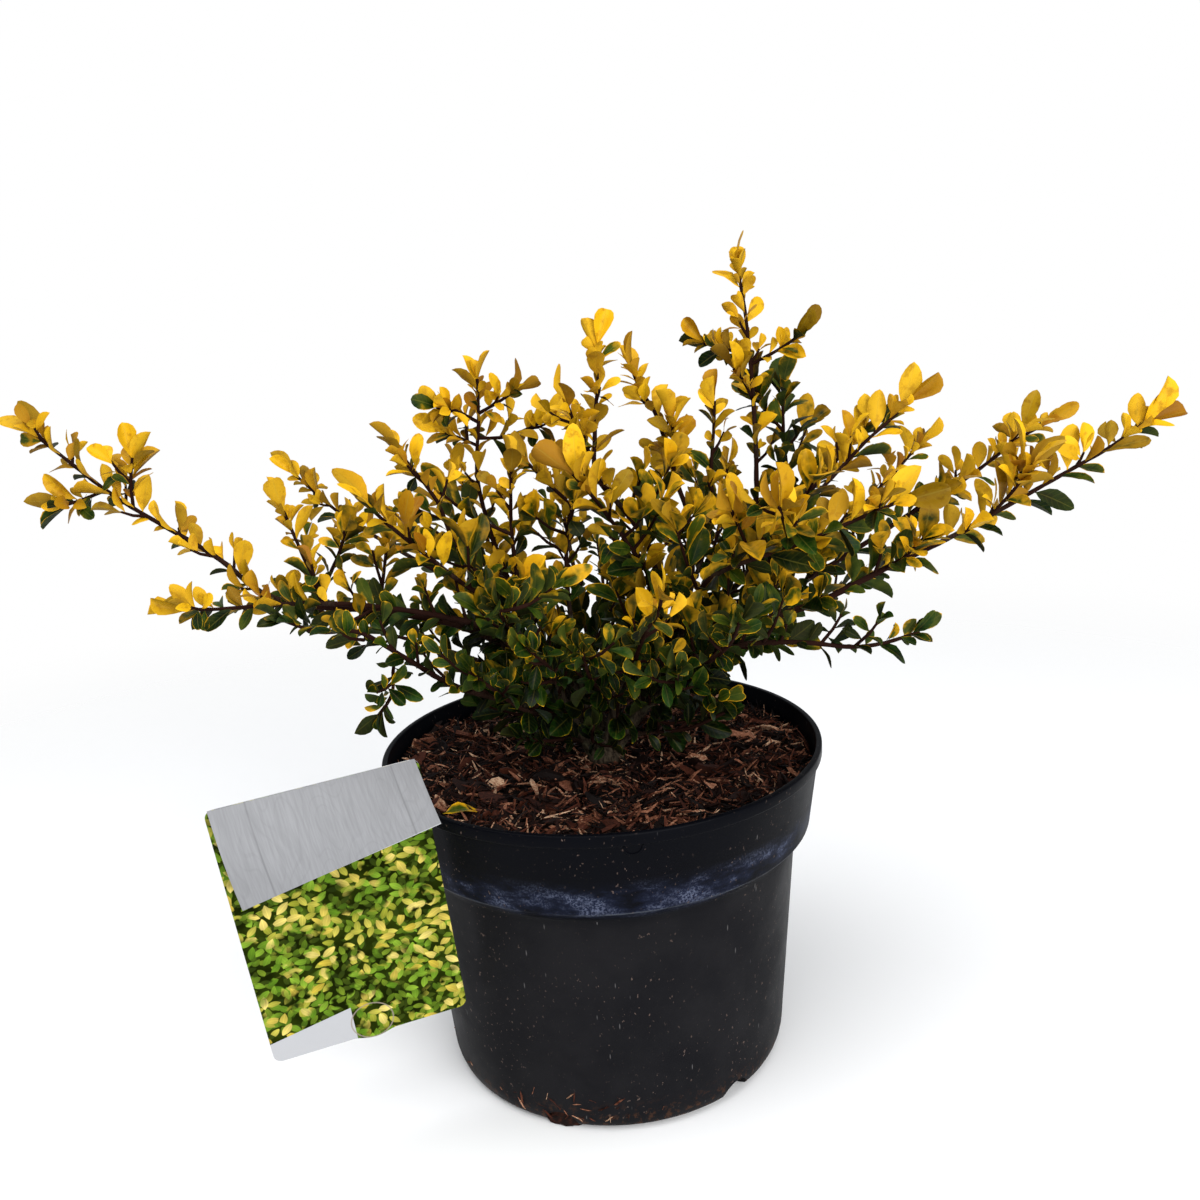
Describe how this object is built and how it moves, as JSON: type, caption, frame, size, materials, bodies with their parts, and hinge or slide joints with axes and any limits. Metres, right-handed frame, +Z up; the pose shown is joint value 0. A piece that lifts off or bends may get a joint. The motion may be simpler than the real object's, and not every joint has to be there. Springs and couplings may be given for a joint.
{
  "type": "potted japanese holly",
  "caption": "Small golden-leaved Japanese holly shrub with wide arching branches, planted in a round black nursery pot with bark mulch and a folded card label.",
  "frame": {"origin": "centre of the pot's flat underside, where it stands on the floor", "axes": "+Z up along the pot's axis; +X to the right and -Y towards the viewer as in the picture"},
  "size_m": [0.5666, 0.3035, 0.4191],
  "materials": {
    "pot_plastic": "satin black, scuffed",
    "compost": "matte, crumbly",
    "bark": "matte, fibrous",
    "old_wood": "matte bark",
    "green_foliage": "leathery, slightly glossy",
    "golden_foliage": "leathery, slightly glossy",
    "label_card": "satin coated card"
  },
  "bodies": {
    "root": {"back_left_long_gold": "golden_foliage", "back_left_long_green": "green_foliage", "back_left_low_green": "green_foliage", "back_left_up_gold": "golden_foliage", "back_mid_gold": "golden_foliage", "back_mid_green": "green_foliage", "back_mid_low_green": "green_foliage", "back_mid_right_gold": "golden_foliage", "back_mid_right_green": "green_foliage", "back_right_long_gold": "golden_foliage", "back_right_long_green": "green_foliage", "back_right_low_green": "green_foliage", "back_right_up_gold": "golden_foliage", "bark_mulch": "bark", "bent_gold": "golden_foliage", "centre_big_gold": "golden_foliage", "centre_gold": "golden_foliage", "centre_green": "green_foliage", "centre_left_gold": "golden_foliage", "centre_right_gold": "golden_foliage", "centre_right_green": "green_foliage", "dark_up_green": "green_foliage", "foot_front_green": "green_foliage", "foot_left_green": "green_foliage", "foot_right_green": "green_foliage", "front_centre_green": "green_foliage", "front_left_shoot_green": "green_foliage", "front_low_left_green": "green_foliage", "front_low_right_green": "green_foliage", "front_mid_green": "green_foliage", "front_right_mid_green": "green_foliage", "front_right_shoot_gold": "golden_foliage", "front_right_shoot_green": "green_foliage", "left_fork_gold": "golden_foliage", "left_fork_green": "green_foliage", "left_long_gold": "golden_foliage", "left_long_green": "green_foliage", "left_low_gold": "golden_foliage", "left_low_green": "green_foliage", "left_mid_gold": "golden_foliage", "left_under_green": "green_foliage", "nursery_pot": "pot_plastic", "plant_label": "label_card", "right_front_gold": "golden_foliage", "right_front_green": "green_foliage", "right_long_gold": "golden_foliage", "right_long_green": "green_foliage", "right_low_green": "green_foliage", "right_up_a_gold": "golden_foliage", "right_up_a_green": "green_foliage", "right_up_b_gold": "golden_foliage", "right_upper_gold": "golden_foliage", "right_upper_green": "green_foliage", "root_ball": "compost", "short_upright_gold": "golden_foliage", "small_up_gold": "golden_foliage", "tallest_gold": "golden_foliage", "tallest_green": "green_foliage", "woody_frame": "old_wood"}
  },
  "joints": []
}
